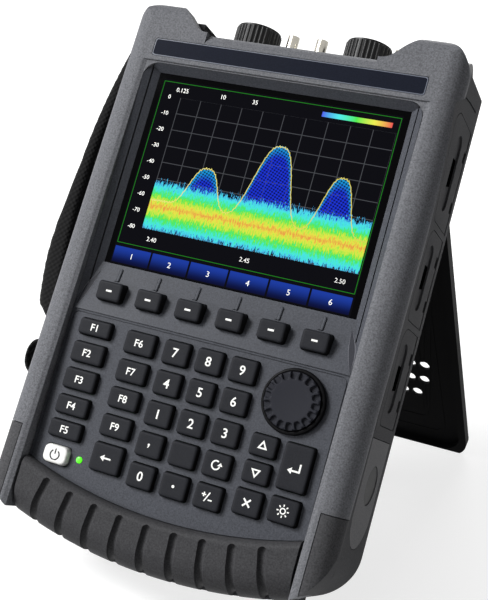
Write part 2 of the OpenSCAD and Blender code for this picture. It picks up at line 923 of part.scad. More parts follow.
// Side doors, battery door and its release
module door(z) {
  color(case_grey)
    posed()
      difference() {
        union() {
          along_x(side_x - door_t, side_x)
            intersection() {
              door_shape(z, 0);
              translate([0, 0])
                square([door_y1, 400]);
            }
          translate([side_x - door_t / 2, door_y1, z[0]])
            cylinder(r = door_t / 2, h = z[1] - z[0]);
          translate([side_x - door_t / 2, door_y1, z[0] - pin_l])
            cylinder(r = pin_r, h = z[1] - z[0] + 2 * pin_l);
        }
        along_x(side_x - 1.2, side_x + 1)
          translate([door_y0 + 12, mid(z)])
            rrect(11, 0.72 * (z[1] - z[0]), 5.4);
        along_x(side_x - 2.3, side_x + 1)
          translate([door_y0 + 10.5, mid(z)])
            rrect(6.4, 0.27 * (z[1] - z[0]), 1.2);
        for (s = [-1, 1])
          box(side_x - 1.4, side_x + 1, door_y1 - 3, door_y1 + 5,
            mid(z) + s * 0.25 * (z[1] - z[0]) - 3, mid(z) + s * 0.25 * (z[1] - z[0]) + 3);
      }
}

module door_upper() {
  door(door1);
}

module door_middle() {
  door(door2);
}

module door_lower() {
  door(door3);
}

module battery_door() {
  color([0.33, 0.33, 0.34])
    posed()
      difference() {
        along_x(side_x - wall, side_x)
          batt_shape(0);
        translate([side_x - wall - 1, latch_y, latch_z])
          rotate([0, 90, 0])
            cylinder(r = latch_r + 0.4, h = 10);
      }
}

module battery_latch() {
  color([0.24, 0.24, 0.25])
    posed()
      translate([side_x - wall + latch_travel + 0.1, latch_y, latch_z])
        rotate([0, 90, 0])
          cylinder(r = latch_r, h = wall - latch_travel - 0.5);
}

// Kickstand, open
module stand_shape(g) {
  l = stand_l - g;
  w0 = stand_hw0 - g;
  w1 = stand_hw1 - g;
  r = 13.5 - 0.4 * g;
  polygon([[-w0, 1.2 - g], [w0, 1.2 - g], [w1, -l + r], [w1 - r, -l], [-w1 + r, -l], [-w1, -l + r]]);
  both_sides()
    translate([w1 - r, -l + r])
      circle(r);
}

module kickstand() {
  color(dark)
    posed()
      difference() {
        translate([0, hinge_y, stand_z])
          rotate([stand_open, 0, 0])
            difference() {
              union() {
                difference() {
                  along_y(-stand_t / 2, stand_t / 2)
                    stand_shape(0);
                  along_y(-stand_t, stand_t / 2 - 2.4)
                    stand_shape(5);
                }
                along_y(0.4, stand_t / 2)
                  both_sides()
                    for (x = [stand_hw0 - 12, stand_hw0 - 8])
                      translate([x, -stand_l + 34])
                        square([1.6, stand_l - 60]);
                for (g = [15, 26])
                  along_y(0.4, stand_t / 2)
                    difference() {
                      stand_shape(g);
                      stand_shape(g + 1.6);
                    }
                rotate([0, 90, 0])
                  translate([0, 0, -lug_x + 0.9])
                    cylinder(r = 2.5, h = 2 * lug_x - 1.8);
                along_y(-stand_t / 2, stand_t / 2)
                  both_sides()
                    translate([30, -8])
                      square([stand_hw0 - 30, 9.2]);
              }
              both_sides()
                for (x = [0:4], k = [0:2])
                  translate([hole_x - 4.5 * max(0, k - 1) - 9 * x, 0, -stand_l + 73 - 12.5 * k])
                    rotate([90, 0, 0])
                      cylinder(r = hole_r, h = 30, center = true);
            }
        below_floor();
      }
}

// Keys
function soft_x(i) = fit_x * (-1.3 + (i - 3.5) * soft_pitch);

module key_holes() {
  along_y(-10, 12) {
    for (i = [1:6])
      translate([soft_x(i), soft_z])
        rrect(soft_w + 2 * key_gap, 10.1 + 2 * key_gap, key_r);
    for (k = key_table())
      translate([k[0], k[1]])
        rrect(k[2] + 2 * key_gap, k[3] + 2 * key_gap, key_r);
  }
}

function key_table() = concat(
  [for (n = [1:5]) fn_spot(n)],
  [for (n = [6:9]) fn_spot(n)],
  [for (c = [0:2], r = [0:4]) num_spot(c, r)],
  [power_spot(), back_spot(), up_spot(), down_spot(), enter_spot(), escape_spot(), light_spot()]);
function fn_spot(n) =
  n == 1 ? [col1_x, 113.3, 18.5 * fit_x, 8.5] :
  n == 2 ? [col1_x, 100, 18.5 * fit_x, 10.6] :
  n == 3 ? [col1_x, 86, 18.5 * fit_x, 10.6] :
  n == 4 ? [col1_x, 72.4, 18.5 * fit_x, 9.7] :
  n == 5 ? [col1_x, 60, 18.5 * fit_x, 8.9] :
  n == 6 ? [col2_x, 111.3, 16.8 * fit_x, 11.5] :
  n == 7 ? [col2_x, 96.6, 16.8 * fit_x, 11] :
  n == 8 ? [col2_x, 82.6, 16.8 * fit_x, 10.3] :
  [col2_x, 68.3, 16.8 * fit_x, 10.8];
function num_spot(c, r) = [num_x + c * num_p, num_z - r * num_pz, 14.3 * fit_x, 12];
function power_spot() = [-60.9 * fit_x, 47, 13.8 * fit_x, 9.4];
function back_spot() = [col2_x, 52.2, 17 * fit_x, 14.3];
function up_spot() = [44.3 * fit_x, 79.3, 13.8 * fit_x, 10.5];
function down_spot() = [44.3 * fit_x, 66.2, 13.8 * fit_x, 10.4];
function enter_spot() = [62.3 * fit_x, 73.4, 15 * fit_x, 22.3];
function escape_spot() = [44 * fit_x, 51.6, 14.3 * fit_x, 12.3];
function light_spot() = [62.2 * fit_x, 52.8, 15 * fit_x, 12];

module key_at(k, back, top) {
  translate([k[0], 0, k[1]]) {
    along_y(-top, back + 0.2)
      rrect(k[2], k[3], key_r);
    along_y(back + 0.2, back + 0.2 + key_rim)
      rrect(k[2] + 2, k[3] + 2, key_r + 0.5);
    translate([0, back + 0.2, 0])
      rotate([-90, 0, 0])
        cylinder(r = 2, h = key_rim + 1.2);
  }
}

module key(k, tint = dark) {
  color(tint)
    posed()
      key_at(k, panel_t, key_rise);
}

module soft_key(i) {
  color(dark)
    posed()
      key_at([soft_x(i), soft_z, soft_w, 10.1], panel_back, key_rise);
}

module soft_key_1() { soft_key(1); }
module soft_key_2() { soft_key(2); }
module soft_key_3() { soft_key(3); }
module soft_key_4() { soft_key(4); }
module soft_key_5() { soft_key(5); }
module soft_key_6() { soft_key(6); }
module key_fn_1() { key(fn_spot(1)); }
module key_fn_2() { key(fn_spot(2)); }
module key_fn_3() { key(fn_spot(3)); }
module key_fn_4() { key(fn_spot(4)); }
module key_fn_5() { key(fn_spot(5)); }
module key_power() { key(power_spot(), [0.92, 0.92, 0.9]); }
module key_fn_6() { key(fn_spot(6)); }
module key_fn_7() { key(fn_spot(7)); }
module key_fn_8() { key(fn_spot(8)); }
module key_fn_9() { key(fn_spot(9)); }
module key_back() { key(back_spot()); }
module key_7() { key(num_spot(0, 0)); }
module key_8() { key(num_spot(1, 0)); }
module key_9() { key(num_spot(2, 0)); }
module key_4() { key(num_spot(0, 1)); }
module key_5() { key(num_spot(1, 1)); }
module key_6() { key(num_spot(2, 1)); }
module key_1() { key(num_spot(0, 2)); }
module key_2() { key(num_spot(1, 2)); }
module key_3() { key(num_spot(2, 2)); }
module key_comma() { key(num_spot(0, 3)); }
module key_blank() { key(num_spot(1, 3)); }
module key_preset() { key(num_spot(2, 3)); }
module key_0() { key(num_spot(0, 4)); }
module key_dot() { key(num_spot(1, 4)); }
module key_sign() { key(num_spot(2, 4)); }
module key_up() { key(up_spot()); }
module key_down() { key(down_spot()); }
module key_enter() { key(enter_spot()); }
module key_escape() { key(escape_spot()); }
module key_backlight() { key(light_spot()); }

front_case();
rear_case();
front_panel();
bottom_bumper();
display_lens();
display_module();
main_board();
keypad_board();
top_connectors();
battery_pack();
hand_strap();
strap_anchors();
case_screws();
power_led();
knob();
dust_cap_left();
dust_cap_right();
door_upper();
door_middle();
door_lower();
battery_door();
battery_latch();
kickstand();
soft_key_1();
soft_key_2();
soft_key_3();
soft_key_4();
soft_key_5();
soft_key_6();
key_fn_1();
key_fn_2();
key_fn_3();
key_fn_4();
key_fn_5();
key_power();
key_fn_6();
key_fn_7();
key_fn_8();
key_fn_9();
key_back();
key_7();
key_8();
key_9();
key_4();
key_5();
key_6();
key_1();
key_2();
key_3();
key_comma();
key_blank();
key_preset();
key_0();
key_dot();
key_sign();
key_up();
key_down();
key_enter();
key_escape();
key_backlight();
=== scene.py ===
"""Looks of a handheld spectrum analyzer that leans on its kickstand."""

import math

import bmesh
import bpy
import numpy as np
from mathutils import Matrix, Vector


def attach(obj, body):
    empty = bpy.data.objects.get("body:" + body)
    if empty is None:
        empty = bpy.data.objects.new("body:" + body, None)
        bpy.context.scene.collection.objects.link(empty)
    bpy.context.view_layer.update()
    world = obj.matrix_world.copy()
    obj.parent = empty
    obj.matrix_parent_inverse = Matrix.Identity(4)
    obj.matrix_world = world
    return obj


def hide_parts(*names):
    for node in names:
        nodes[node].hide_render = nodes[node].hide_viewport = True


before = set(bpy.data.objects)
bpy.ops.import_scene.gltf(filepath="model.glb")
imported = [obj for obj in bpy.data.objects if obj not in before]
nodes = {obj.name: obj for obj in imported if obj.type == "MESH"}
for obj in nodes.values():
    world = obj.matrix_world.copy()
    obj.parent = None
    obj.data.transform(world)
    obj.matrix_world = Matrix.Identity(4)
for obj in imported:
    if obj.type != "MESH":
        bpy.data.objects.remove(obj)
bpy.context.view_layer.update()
scene = bpy.context.scene

# Body frame of the case: x right, y back, z up along the case, in millimetres

MM = 0.001
LEAN = math.radians(30)
CASE_D, FOOT_Z, FOOT_CUT = 62.0, 4.0, 3.5
FLOOR_D = math.sin(LEAN) * CASE_D - math.cos(LEAN) * FOOT_Z - FOOT_CUT
LAND_Y = (CASE_D + (FLOOR_D + math.cos(LEAN) * FOOT_Z) / math.sin(LEAN)) / 2
LAND_Z = (math.sin(LEAN) * LAND_Y - FLOOR_D) / math.cos(LEAN)
ORIGIN_Y = LAND_Y * math.cos(LEAN) + LAND_Z * math.sin(LEAN)
TURN = Matrix.Rotation(-LEAN, 4, "X")
CASE = Matrix.Translation((0, -ORIGIN_Y * MM, FLOOR_D * MM)) @ TURN @ Matrix.Scale(MM, 4)

# Camera

CAMERA_AT = Vector((222.413, -518.895, 81.367))
CAMERA_RIGHT = Vector((0.90441508, 0.33061725, 0.26967685))
CAMERA_DOWN = Vector((0.21123684, 0.20218245, -0.95629559))
CAMERA_AHEAD = Vector((-0.37069174, 0.92185384, 0.11301831))
FOCAL_PX, LONG_PX, SENSOR = 1148.8, 600, 36.0


def place_camera():
    data = bpy.data.cameras.new("camera")
    camera = bpy.data.objects.new("camera", data)
    scene.collection.objects.link(camera)
    axes = [TURN.to_3x3() @ v for v in (CAMERA_RIGHT, -CAMERA_DOWN, -CAMERA_AHEAD)]
    turn = Matrix(axes).transposed().to_4x4()
    camera.matrix_world = Matrix.Translation(CASE @ CAMERA_AT) @ turn
    data.sensor_width = SENSOR
    data.lens = FOCAL_PX / LONG_PX * SENSOR
    data.clip_start, data.clip_end = 0.01, 20
    scene.camera = camera


place_camera()

# Shader helpers


def linear(code):
    """Linear colour of a hex code."""
    parts = [int(code[i : i + 2], 16) / 255 for i in (0, 2, 4)]
    return tuple(c / 12.92 if c <= 0.04045 else ((c + 0.055) / 1.055) ** 2.4 for c in parts) + (1.0,)


class Wires:
    """Adds nodes to a tree and links them by name."""

    def __init__(self, tree):
        self.tree = tree

    def node(self, kind, inputs=None, **settings):
        made = self.tree.nodes.new(kind)
        for key, value in settings.items():
            setattr(made, key, value)
        for key, value in (inputs or {}).items():
            self.set(made, key, value)
        return made

    def set(self, made, key, value):
        socket = made.inputs[key]
        if isinstance(value, bpy.types.NodeSocket):
            self.tree.links.new(value, socket)
        else:
            socket.default_value = value

    def math(self, operation, a, b=0.0, c=0.0, clamp=False):
        made = self.node("ShaderNodeMath", operation=operation, use_clamp=clamp)
        for i, value in enumerate((a, b, c)):
            self.set(made, i, value)
        return made.outputs[0]

    def ramp(self, value, low, high, to_low=0.0, to_high=1.0, smooth=True):
        kind = "SMOOTHSTEP" if smooth else "LINEAR"
        made = self.node("ShaderNodeMapRange", interpolation_type=kind, clamp=True)
        for i, v in enumerate((value, low, high, to_low, to_high)):
            self.set(made, i, v)
        return made.outputs[0]

    def mix(self, factor, a, b, blend="MIX"):
        made = self.node("ShaderNodeMix", data_type="RGBA", blend_type=blend)
        self.set(made, 0, factor)
        self.set(made, 6, a)
        self.set(made, 7, b)
        return made.outputs[2]

    def noise(self, vector, scale, detail=2.0, rough=0.5):
        values = {"Vector": vector, "Scale": scale, "Detail": detail, "Roughness": rough}
        return self.node("ShaderNodeTexNoise", values).outputs["Fac"]


def new_group(name, inputs, outputs):
    tree = bpy.data.node_groups.new(name, "ShaderNodeTree")
    for label, kind, value in inputs:
        socket = tree.interface.new_socket(label, in_out="INPUT", socket_type=kind)
        socket.default_value = value
    for label, kind in outputs:
        tree.interface.new_socket(label, in_out="OUTPUT", socket_type=kind)
    wires = Wires(tree)
    return tree, wires, wires.node("NodeGroupInput"), wires.node("NodeGroupOutput")


def moulded_grain():
    """Fine moulded grain: a speckled tone, a height and a roughness shift."""
    tree, w, given, put = new_group(
        "moulded_grain",
        [("Tone", "NodeSocketColor", (0.1, 0.1, 0.1, 1)), ("Grain size", "NodeSocketFloat", 1500.0),
         ("Speckle", "NodeSocketFloat", 0.2), ("Gloss", "NodeSocketFloat", 0.5)],
        [("Color", "NodeSocketColor"), ("Height", "NodeSocketFloat"), ("Roughness", "NodeSocketFloat")])
    place = w.node("ShaderNodeTexCoord").outputs["Object"]
    fine = w.noise(place, given.outputs["Grain size"], 2.0, 0.6)
    cloud = w.noise(place, 38.0, 3.0, 0.55)
    spread = w.math("SUBTRACT", fine, 0.5)
    spread = w.math("MULTIPLY", spread, given.outputs["Speckle"])
    drift = w.math("MULTIPLY_ADD", w.math("SUBTRACT", cloud, 0.5), 0.16, 1.0)
    level = w.math("ADD", w.math("MULTIPLY", spread, 4.0), drift)
    value = w.node("ShaderNodeHueSaturation", {"Color": given.outputs["Tone"], "Value": level})
    w.set(put, "Color", value.outputs[0])
    w.set(put, "Height", fine)
    rough = w.math("ADD", given.outputs["Gloss"], w.math("MULTIPLY", w.math("SUBTRACT", cloud, 0.5), 0.2))
    w.set(put, "Roughness", w.math("ADD", rough, w.math("MULTIPLY", spread, 0.5)))
    return tree


def woven_cloth():
    """Plain weave of two crossing yarns on object coordinates."""
    tree, w, given, put = new_group(
        "woven_cloth",
        [("Tone", "NodeSocketColor", (0.01, 0.01, 0.01, 1)), ("Yarns per metre", "NodeSocketFloat", 900.0)],
        [("Color", "NodeSocketColor"), ("Height", "NodeSocketFloat")])
    place = w.node("ShaderNodeTexCoord").outputs["Object"]
    axes = w.node("ShaderNodeSeparateXYZ", {"Vector": place})
    along = w.math("MULTIPLY_ADD", axes.outputs["Y"], 0.5, w.math("MULTIPLY", axes.outputs["Z"], 0.866))
    across = w.math("MULTIPLY_ADD", axes.outputs["Y"], 0.866, w.math("MULTIPLY", axes.outputs["Z"], -0.5))
    across = w.math("ADD", across, axes.outputs["X"])
    turn = w.math("MULTIPLY", given.outputs["Yarns per metre"], math.pi)
    warp = w.math("SINE", w.math("MULTIPLY", along, turn))
    weft = w.math("SINE", w.math("MULTIPLY", across, turn))
    cross = w.math("MULTIPLY", warp, weft)
    cloud = w.noise(place, 60.0, 3.0)
    height = w.math("MULTIPLY_ADD", cross, 0.5, 0.5)
    level = w.math("MULTIPLY_ADD", height, 1.1, 0.45)
    level = w.math("MULTIPLY", level, w.math("ADD", cloud, 0.5))
    value = w.node("ShaderNodeHueSaturation", {"Color": given.outputs["Tone"], "Value": level})
    w.set(put, "Color", value.outputs[0])
    w.set(put, "Height", height)
    return tree


GRAIN = moulded_grain()
WEAVE = woven_cloth()


def new_material(name):
    made = bpy.data.materials.new(name)
    made.use_nodes = True
    made.node_tree.nodes.clear()
    w = Wires(made.node_tree)
    shader = w.node("ShaderNodeBsdfPrincipled")
    w.node("ShaderNodeOutputMaterial", {"Surface": shader.outputs[0]})
    return made, w, shader


def grained(name, code, size=1500.0, speckle=0.2, gloss=0.5, bump=0.25, depth=0.0002, shine=0.3):
    """A moulded plastic or rubber with its own grain."""
    made, w, shader = new_material(name)
    group = w.node("ShaderNodeGroup", node_tree=GRAIN)
    for key, value in (("Tone", linear(code)), ("Grain size", size), ("Speckle", speckle), ("Gloss", gloss)):
        w.set(group, key, value)
    w.set(shader, "Base Color", group.outputs["Color"])
    w.set(shader, "Roughness", group.outputs["Roughness"])
    values = {"Height": group.outputs["Height"], "Strength": bump, "Distance": depth}
    w.set(shader, "Normal", w.node("ShaderNodeBump", values).outputs[0])
    w.set(shader, "Specular IOR Level", shine)
    return made


def metal(name, code, rough=0.3):
    made, w, shader = new_material(name)
    group = w.node("ShaderNodeGroup", node_tree=GRAIN)
    for key, value in (("Tone", linear(code)), ("Grain size", 900.0), ("Speckle", 0.08), ("Gloss", rough)):
        w.set(group, key, value)
    w.set(shader, "Base Color", group.outputs["Color"])
    w.set(shader, "Roughness", group.outputs["Roughness"])
    w.set(shader, "Metallic", 1.0)
    return made


def fabric(name, code, yarns, bump=0.6):
    made, w, shader = new_material(name)
    group = w.node("ShaderNodeGroup", node_tree=WEAVE)
    w.set(group, "Tone", linear(code))
    w.set(group, "Yarns per metre", yarns)
    w.set(shader, "Base Color", group.outputs["Color"])
    w.set(shader, "Roughness", 0.85)
    w.set(shader, "Sheen Weight", 0.06)
    w.set(shader, "Specular IOR Level", 0.15)
    values = {"Height": group.outputs["Height"], "Strength": bump, "Distance": 0.0006}
    w.set(shader, "Normal", w.node("ShaderNodeBump", values).outputs[0])
    return made


def glowing(name, code, strength, base="000000"):
    made, w, shader = new_material(name)
    w.set(shader, "Base Color", linear(base))
    w.set(shader, "Roughness", 0.35)
    w.set(shader, "Emission Color", linear(code))
    w.set(shader, "Emission Strength", strength)
    return made


case_grey = grained("case_grey", "66676b", 1200.0, 0.38, 0.52, 0.34, 0.0002, 0.03)
side_grey = grained("side_grey", "4a4a4c", 1250.0, 0.34, 0.6, 0.3, 0.0002, 0.015)
door_grey = grained("door_grey", "68686a", 1250.0, 0.3, 0.55, 0.3, 0.0002, 0.03)
guard_grey = grained("guard_grey", "3d3d3e", 1200.0, 0.34, 0.5, 0.3, 0.0002, 0.06)
panel_grey = grained("panel_grey", "44464c", 1300.0, 0.34, 0.5, 0.3, 0.0002, 0.12)
bumper_grey = grained("bumper_grey", "3b3b3d", 1200.0, 0.36, 0.5, 0.3, 0.0002, 0.07)
strip_slate = grained("strip_slate", "191c26", 1500.0, 0.2, 0.45, 0.1, 0.0001, 0.015)
strip_edge = grained("strip_edge", "5b606c", 1500.0, 0.1, 0.4, 0.1, 0.0001, 0.3)
key_top = grained("key_top", "232428", 1500.0, 0.2, 0.5, 0.15, 0.0002, 0.07)
# Near-black copy of the key rubber for the key sides: painted shade
key_side = grained("key_side", "070708", 1500.0, 0.1, 0.5, 0.15, 0.0002, 0.1)
key_white = grained("key_white", "e9e9e6", 1500.0, 0.03, 0.4, 0.05, 0.0002, 0.4)
knob_black = grained("knob_black", "08080a", 1500.0, 0.1, 0.4, 0.1, 0.0002, 0.06)
knob_face = grained("knob_face", "25262c", 1500.0, 0.1, 0.5, 0.1, 0.0002, 0.08)
satin_black = grained("satin_black", "0b0b0c", 1300.0, 0.2, 0.36, 0.2, 0.0002, 0.2)
stand_black = grained("stand_black", "070708", 1300.0, 0.3, 0.5, 0.3, 0.0002, 0.025)
# Flat black for the floors of the door slots and hinge gaps: painted shade
slot_painted_shade = grained("slot_painted_shade", "030303", 1300.0, 0.1, 0.9, 0.1, 0.0002, 0.0)
board_green = grained("board_green", "1d5a35", 500.0, 0.1, 0.4, 0.1)
cell_black = grained("cell_black", "1c1c1e", 900.0, 0.1, 0.5, 0.1)
nickel_metal = metal("nickel_metal", "b4b0a6", 0.28)
steel_metal = metal("steel_metal", "8b8c90", 0.35)
sheet_metal = metal("sheet_metal", "a8abb0", 0.4)
strap_cloth = fabric("strap_cloth", "0a0a0b", 620.0)
strap_web = fabric("strap_web", "0b0b0c", 520.0)
# Dark fill and light rim of the leaf scoops: painted shade and painted highlight
leaf_painted_shade = grained("leaf_painted_shade", "303137", 1500.0, 0.2, 0.5, 0.1, 0.0002, 0.1)
leaf_painted_highlight = grained("leaf_painted_highlight", "6a6b72", 1500.0, 0.2, 0.5, 0.1, 0.0002, 0.2)
strap_thread = grained("strap_thread", "1c1c1e", 2500.0, 0.2, 0.7, 0.2, 0.0002, 0.1)
trace_yellow = glowing("trace_yellow", "e8d820", 0.8)
legend_white = glowing("legend_white", "f2f2ee", 0.2, "e4e4e0")
legend_black = grained("legend_black", "111113", 1500.0, 0.05, 0.5, 0.05)
light_green = glowing("light_green", "58ff10", 1.0, "2c8008")
lens_black = grained("lens_black", "020203", 400.0, 0.0, 0.05, 0.0, 0.0001, 0.03)

NODE_LOOKS = {
    "front_case": case_grey, "rear_case": side_grey, "front_panel": panel_grey, "bottom_bumper": bumper_grey,
    "display_lens": lens_black, "display_module": sheet_metal, "main_board": board_green,
    "keypad_board": board_green, "top_connectors": nickel_metal, "battery_pack": cell_black,
    "hand_strap": strap_cloth, "strap_anchors": satin_black, "case_screws": steel_metal,
    "power_led": light_green, "knob": knob_black, "dust_cap_left": satin_black, "dust_cap_right": satin_black,
    "door_upper": side_grey, "door_middle": side_grey, "door_lower": side_grey, "battery_door": door_grey,
    "battery_latch": guard_grey, "kickstand": stand_black, "key_power": key_white,
}
for name, made in nodes.items():
    made.data.materials.clear()
    made.data.materials.append(NODE_LOOKS.get(name, key_top))

# Mesh helpers, all in the body frame


def node_span(name):
    """Lowest and highest corner of a node in the body frame."""
    back = CASE.inverted()
    spots = np.array([back @ v.co for v in nodes[name].data.vertices])
    return spots.min(axis=0), spots.max(axis=0)


def rounded(width, height, radius, steps=5):
    """Points round a rounded rectangle."""
    points = []
    for i, (sx, sz) in enumerate(((1, 1), (-1, 1), (-1, -1), (1, -1))):
        for k in range(steps + 1):
            a = math.pi / 2 * (i + k / steps)
            points.append((sx * (width / 2 - radius) + radius * math.cos(a),
                           sz * (height / 2 - radius) + radius * math.sin(a)))
    return points


class Piece:
    """Closed shells that become one object on a body."""

    def __init__(self):
        self.points, self.faces, self.slots, self.looks = [], [], [], []

    def look(self, material):
        if material not in self.looks:
            self.looks.append(material)
        return self.looks.index(material)

    def add(self, points, faces, material):
        base = len(self.points)
        self.points += [tuple(p) for p in points]
        self.faces += [tuple(base + i for i in f) for f in faces]
        self.slots += [self.look(material)] * len(faces)

    def loft(self, rings, materials, ends=True):
        """Joins rings of equal length, with one material for each band between two rings."""
        n = len(rings[0])
        if not isinstance(materials, (list, tuple)):
            materials = [materials] * (len(rings) - 1)
        base = len(self.points)
        for ring in rings:
            self.points += [tuple(p) for p in ring]
        for k in range(len(rings) - 1):
            a, b = base + k * n, base + (k + 1) * n
            for i in range(n):
                j = (i + 1) % n
                self.faces.append((a + i, a + j, b + j, b + i))
            self.slots += [self.look(materials[k])] * n
        if ends:
            last = base + (len(rings) - 1) * n
            self.faces.append(tuple(range(base + n - 1, base - 1, -1)))
            self.faces.append(tuple(range(last, last + n)))
            self.slots += [self.look(materials[0]), self.look(materials[-1])]

    def ribbon(self, path, width, y0, y1, material, closed=False):
        """A flat stroke of one width along a path of (x, z) points, from depth y0 to y1."""
        spots = [Vector(p) for p in path]
        n = len(spots)
        left, right = [], []
        for i, p in enumerate(spots):
            ahead = spots[(i + 1) % n] - p if closed or i < n - 1 else p - spots[i - 1]
            behind = p - spots[i - 1] if closed or i > 0 else ahead
            ahead, behind = ahead.normalized(), behind.normalized()
            across = Vector((-ahead.y - behind.y, ahead.x + behind.x)).normalized()
            half = width / 2 / max(0.35, across.dot(Vector((-ahead.y, ahead.x))))
            left.append(p + across * half)
            right.append(p - across * half)
        points = []
        for l, r in zip(left, right):
            points += [(l.x, y0, l.y), (r.x, y0, r.y), (r.x, y1, r.y), (l.x, y1, l.y)]
        faces = []
        for i in range(n if closed else n - 1):
            a, b = 4 * i, 4 * ((i + 1) % n)
            faces += [(a + k, a + (k + 1) % 4, b + (k + 1) % 4, b + k) for k in range(4)]
        if not closed:
            faces += [(3, 2, 1, 0), tuple(4 * (n - 1) + k for k in range(4))]
        self.add(points, faces, material)

    def plate(self, outline, y0, y1, material):
        """A flat plate with an outline of (x, z) points."""
        self.loft([[(x, y, z) for x, z in outline] for y in (y0, y1)], material)

    def sign(self, words, at, height, y0, y1, material, bold=0.0):
        """Raised characters, centred at (x, z)."""
        points, faces, _ = characters(words, bold)
        size = height / characters("0", 0.0)[2]
        self.add([(at[0] + x * size, y0 + (y1 - y0) * s, at[1] + z * size) for x, s, z in points], faces, material)

    def build(self, name, body, *stands_for, slot=None, sharp=35):
        mesh = bpy.data.meshes.new(name)
        mesh.from_pydata([CASE @ Vector(p) for p in self.points], [], self.faces)
        for material in self.looks:
            mesh.materials.append(material)
        mesh.polygons.foreach_set("material_index", self.slots)
        shell = bmesh.new()
        shell.from_mesh(mesh)
        bmesh.ops.recalc_face_normals(shell, faces=shell.faces)
        shell.to_mesh(mesh)
        shell.free()
        mesh.shade_smooth()
        mesh.set_sharp_from_angle(angle=math.radians(sharp))
        made = bpy.data.objects.new(name, mesh)
        scene.collection.objects.link(made)
        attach(made, body)
        if stands_for:
            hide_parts(*stands_for)
        return made


CHARACTERS = {}


def characters(words, bold):
    """Points (x, 0 or 1, z), faces and height of raised characters of Blender's own typeface."""
    if (words, bold) in CHARACTERS:
        return CHARACTERS[words, bold]
    curve = bpy.data.curves.new("characters", "FONT")
    curve.body = words
    curve.extrude, curve.offset, curve.resolution_u = 0.5, bold, 3
    made = bpy.data.objects.new("characters", curve)
    mesh = bpy.data.meshes.new_from_object(made)
    shell = bmesh.new()
    shell.from_mesh(mesh)
    bmesh.ops.remove_doubles(shell, verts=shell.verts, dist=1e-4)
    shell.verts.index_update()
    spots = np.array([v.co for v in shell.verts])
    low, high = spots.min(axis=0), spots.max(axis=0)
    points = [(p[0] - (low[0] + high[0]) / 2, 0.5 + p[2], p[1] - (low[1] + high[1]) / 2) for p in spots]
    faces = [tuple(v.index for v in f.verts) for f in shell.faces]
    shell.free()
    bpy.data.objects.remove(made)
    bpy.data.curves.remove(curve)
    bpy.data.meshes.remove(mesh)
    CHARACTERS[words, bold] = (points, faces, high[1] - low[1])
    return CHARACTERS[words, bold]


def arc_path(cx, cz, radius, start, end, steps):
    angles = [math.radians(start + (end - start) * i / steps) for i in range(steps + 1)]
    return [(cx + radius * math.cos(a), cz + radius * math.sin(a)) for a in angles]


# Keys with their legends

DIGITS = {"key_%d" % i: str(i) for i in range(10)}
WORDS = {**DIGITS, **{"key_fn_%d" % i: "F%d" % i for i in range(1, 10)}}
SIGNS = {"key_power": "power", "key_back": "left", "key_up": "up", "key_down": "down", "key_enter": "return",
         "key_escape": "cross", "key_backlight": "sun", "key_preset": "around", "key_comma": "comma",
         "key_dot": "dot", "key_sign": "plus_minus", **{"soft_key_%d" % i: "dash" for i in range(1, 7)}}


def draw_sign(piece, kind, x, z, y, material):
    """One plain sign on a key top."""
    y0, y1 = y + 0.2, y - 0.05

    def line(path, width=0.7, closed=False):
        piece.ribbon([(x + u, z + v) for u, v in path], width, y0, y1, material, closed)

    def fill(path):
        piece.plate([(x + u, z + v) for u, v in path], y0, y1, material)

    if kind == "dash":
        line([(-1.6, 0), (1.6, 0)], 0.95)
    elif kind == "power":
        line(arc_path(0, -0.3, 2.5, 125, 415, 24), 0.7)
        line([(0, 0.2), (0, 2.9)], 0.7)
    elif kind in ("up", "down"):
        s = 1 if kind == "up" else -1
        line([(-1.9, -1.3 * s), (1.9, -1.3 * s), (0, 1.9 * s)], 0.75, True)
    elif kind == "left":
        line([(-1.2, 0), (2.8, 0)], 0.8)
        fill([(-3.1, 0), (-0.9, 1.6), (-0.9, -1.6)])
    elif kind == "return":
        line([(-1.6, -1.6), (2.6, -1.6), (2.6, 2.2)], 0.85)
        fill([(-3.4, -1.6), (-1.2, 0.0), (-1.2, -3.2)])
    elif kind == "cross":
        line([(-1.8, -1.8), (1.8, 1.8)], 0.85)
        line([(-1.8, 1.8), (1.8, -1.8)], 0.85)
    elif kind == "sun":
        line(arc_path(0, 0, 1.25, 0, 345, 23), 0.6, True)
        for i in range(8):
            a = math.pi / 4 * i
            line([(2.1 * math.cos(a), 2.1 * math.sin(a)), (3.1 * math.cos(a), 3.1 * math.sin(a))], 0.6)
    elif kind == "around":
        line(arc_path(0, 0, 2.1, 60, 350, 20), 0.7)
        fill([(2.07 + u, -0.36 + v) for u, v in ((-1.4, 0.1), (1.4, 0.3), (0.2, 1.9))])
    elif kind == "comma":
        fill(arc_path(0, 0.2, 0.6, 0, 330, 11))
        line([(0.3, 0.0), (-0.3, -1.3)], 0.5)
    elif kind == "dot":
        fill(arc_path(0, 0, 0.75, 0, 330, 11))
    elif kind == "plus_minus":
        line([(-2.9, 1.0), (-0.7, 1.0)], 0.65)
        line([(-1.8, -0.1), (-1.8, 2.1)], 0.65)
        line([(-1.1, -2.2), (1.1, 2.4)], 0.6)
        line([(0.8, -1.2), (2.9, -1.2)], 0.65)


